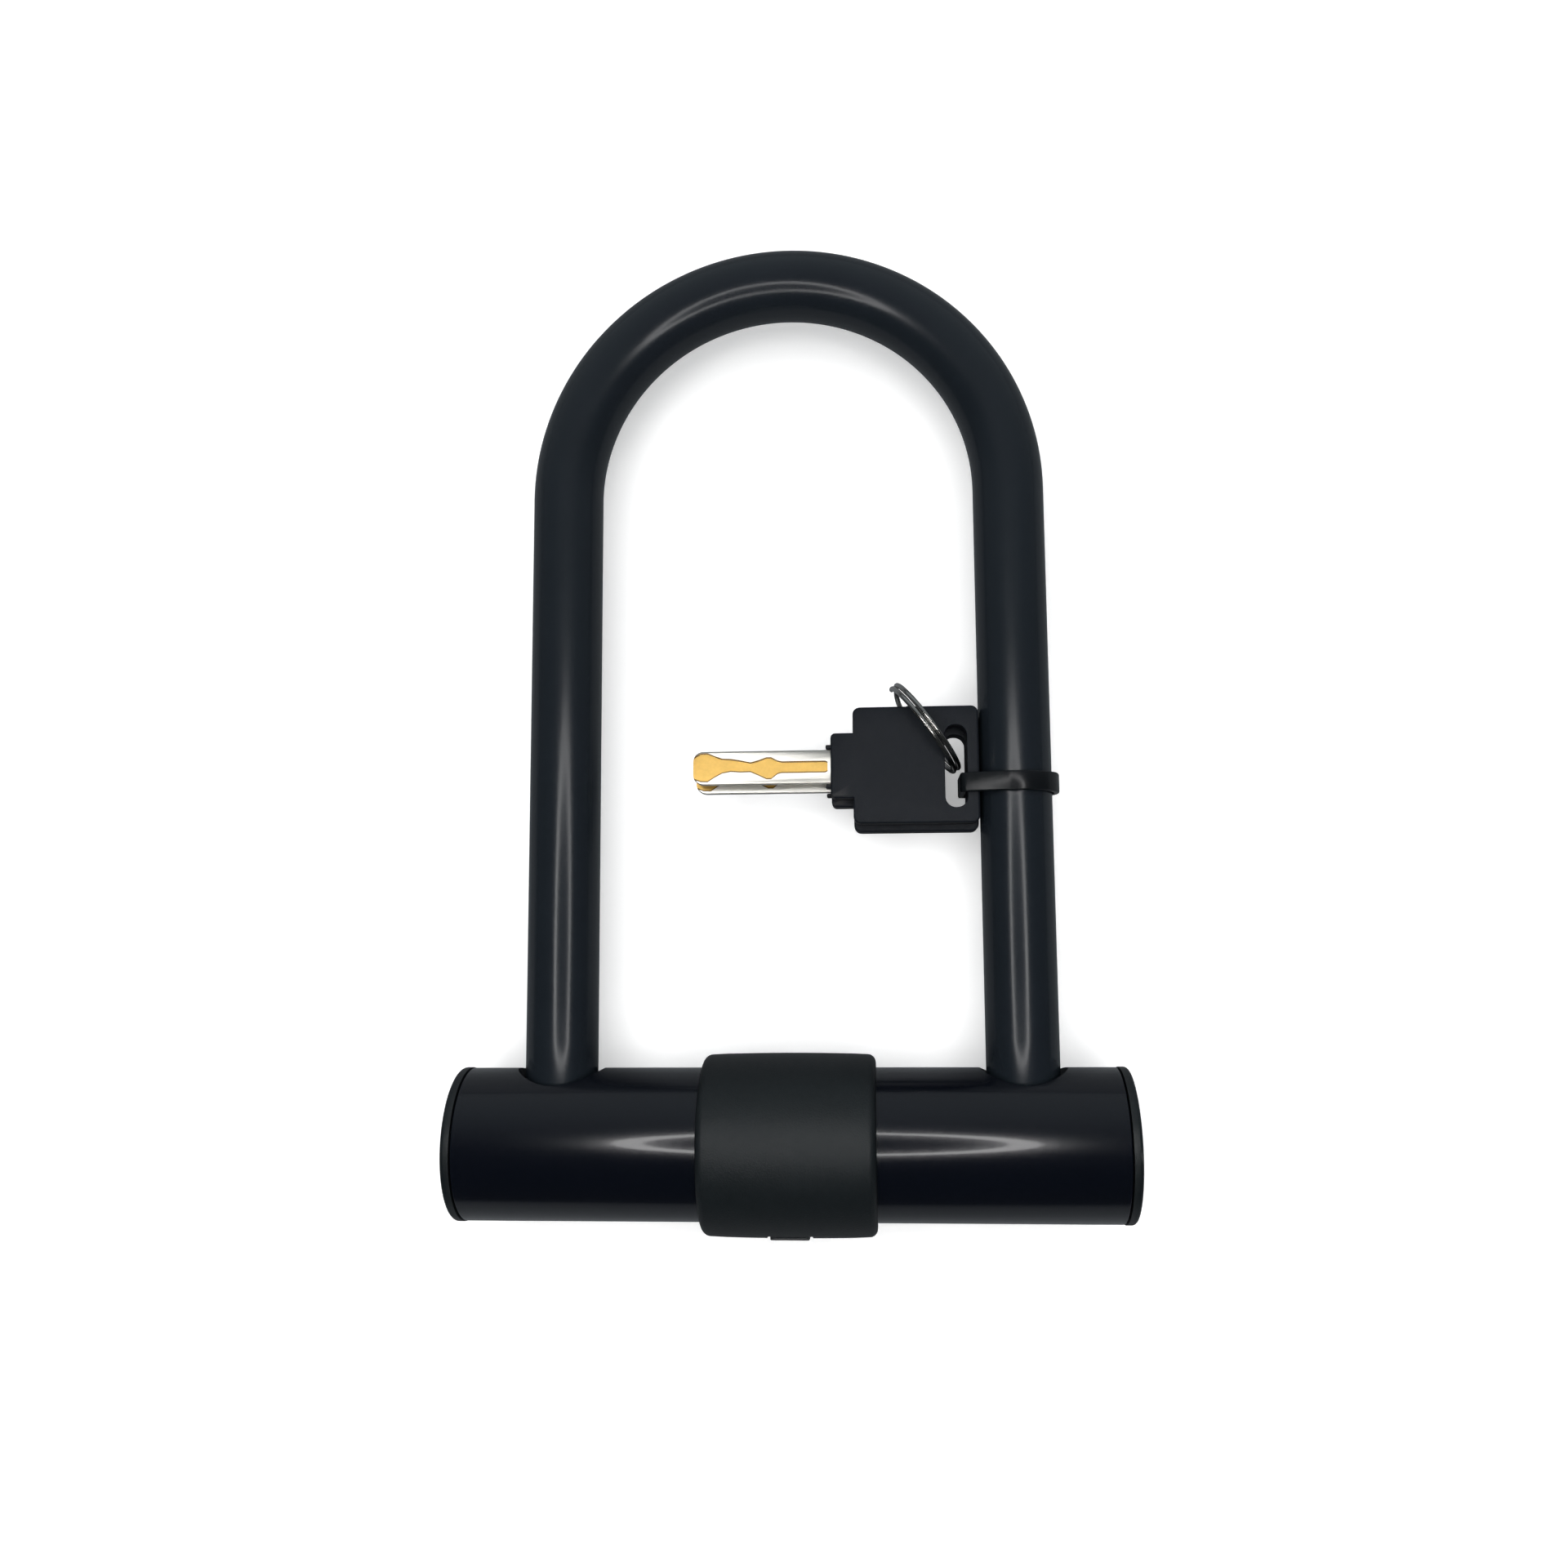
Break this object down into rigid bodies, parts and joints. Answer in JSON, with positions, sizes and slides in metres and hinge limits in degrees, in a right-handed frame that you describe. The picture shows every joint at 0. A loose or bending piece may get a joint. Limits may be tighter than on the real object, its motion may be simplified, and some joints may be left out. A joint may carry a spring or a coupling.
{
  "type": "bicycle u lock",
  "caption": "U-shaped bicycle lock: coated steel shackle, round crossbar with a keyed cylinder and double bolts, and keys on a split ring tied to one leg.",
  "frame": {"origin": "on the surface the lock lies on, under the middle of its outline seen from above", "axes": "+X along the crossbar, +Y up the legs towards the bend, +Z out of the flat side of the lock"},
  "size_m": [0.165, 0.2538, 0.0442],
  "materials": {
    "vinyl_coat": "satin",
    "black_paint": "gloss",
    "charcoal_plastic": "fine matte texture",
    "key_plastic": "matte",
    "black_nylon": "gloss",
    "rubber": "matte",
    "zinc": "die cast, satin",
    "steel": "satin",
    "ring_steel": "polished",
    "brass": "satin",
    "nickel_brass": "nickel plated, brass in the milled groove"
  },
  "bodies": {
    "crossbar": {"crossbar_tube": "black_paint", "end_cap_left": "charcoal_plastic", "end_cap_right": "charcoal_plastic", "foot_guide_left": "zinc", "foot_guide_right": "zinc", "leg_seal_left": "rubber", "leg_seal_right": "rubber", "guide_pin_left": "steel", "guide_pin_right": "steel", "core_housing": "zinc", "housing_pin_left": "steel", "housing_pin_right": "steel", "cylinder_shell": "brass", "collar": "charcoal_plastic"},
    "shackle": {"shackle_bar": "steel", "shackle_coat": "vinyl_coat"},
    "plug": {"plug": "brass", "wafer_1": "brass", "wafer_2": "brass", "wafer_3": "brass", "wafer_4": "brass", "wafer_5": "brass", "wafer_6": "brass", "cam": "steel", "drive_pin_left": "steel", "drive_pin_right": "steel"},
    "bolt_right": {"bolt_right": "steel"},
    "bolt_left": {"bolt_left": "steel"},
    "dust_cover": {"shutter": "charcoal_plastic"},
    "keys": {"key_1_bow": "key_plastic", "key_1_blade": "nickel_brass", "key_2_bow": "key_plastic", "key_2_blade": "nickel_brass", "cable_tie": "black_nylon"},
    "ring": {"key_ring": "ring_steel"}
  },
  "joints": [
    {"name": "shackle_slide", "type": "slide", "parent": "crossbar", "child": "shackle", "axis": [0, 1, 0], "range_m": [0, 0.06]},
    {"name": "plug_turn", "type": "hinge", "parent": "crossbar", "child": "plug", "pos_m": [0, -0.10433, 0.0221], "axis": [0, 1, 0], "range_deg": [0, 90]},
    {"name": "bolt_right_slide", "type": "slide", "parent": "crossbar", "child": "bolt_right", "axis": [1, 0, 0], "range_m": [0, 0.00707]},
    {"name": "bolt_left_slide", "type": "slide", "parent": "crossbar", "child": "bolt_left", "axis": [-1, 0, 0], "range_m": [0, 0.00708]},
    {"name": "cover_turn", "type": "hinge", "parent": "crossbar", "child": "dust_cover", "pos_m": [0, -0.10433, 0.0221], "axis": [1, 0, 0], "range_deg": [0, 45]},
    {"name": "keys_swing", "type": "hinge", "parent": "shackle", "child": "keys", "pos_m": [0.05725, -0.01123, 0.0221], "axis": [0, 1, 0], "continuous": true},
    {"name": "ring_turn", "type": "hinge", "parent": "keys", "child": "ring", "pos_m": [0.03486, -0.00131, 0.0221], "axis": [0.809, 0.5878, 0], "continuous": true}
  ],
  "couplings": [
    {"joint": "plug_turn", "follows": "bolt_right_slide", "rad_per_m": 222.14},
    {"joint": "bolt_left_slide", "follows": "bolt_right_slide", "ratio": 1}
  ]
}
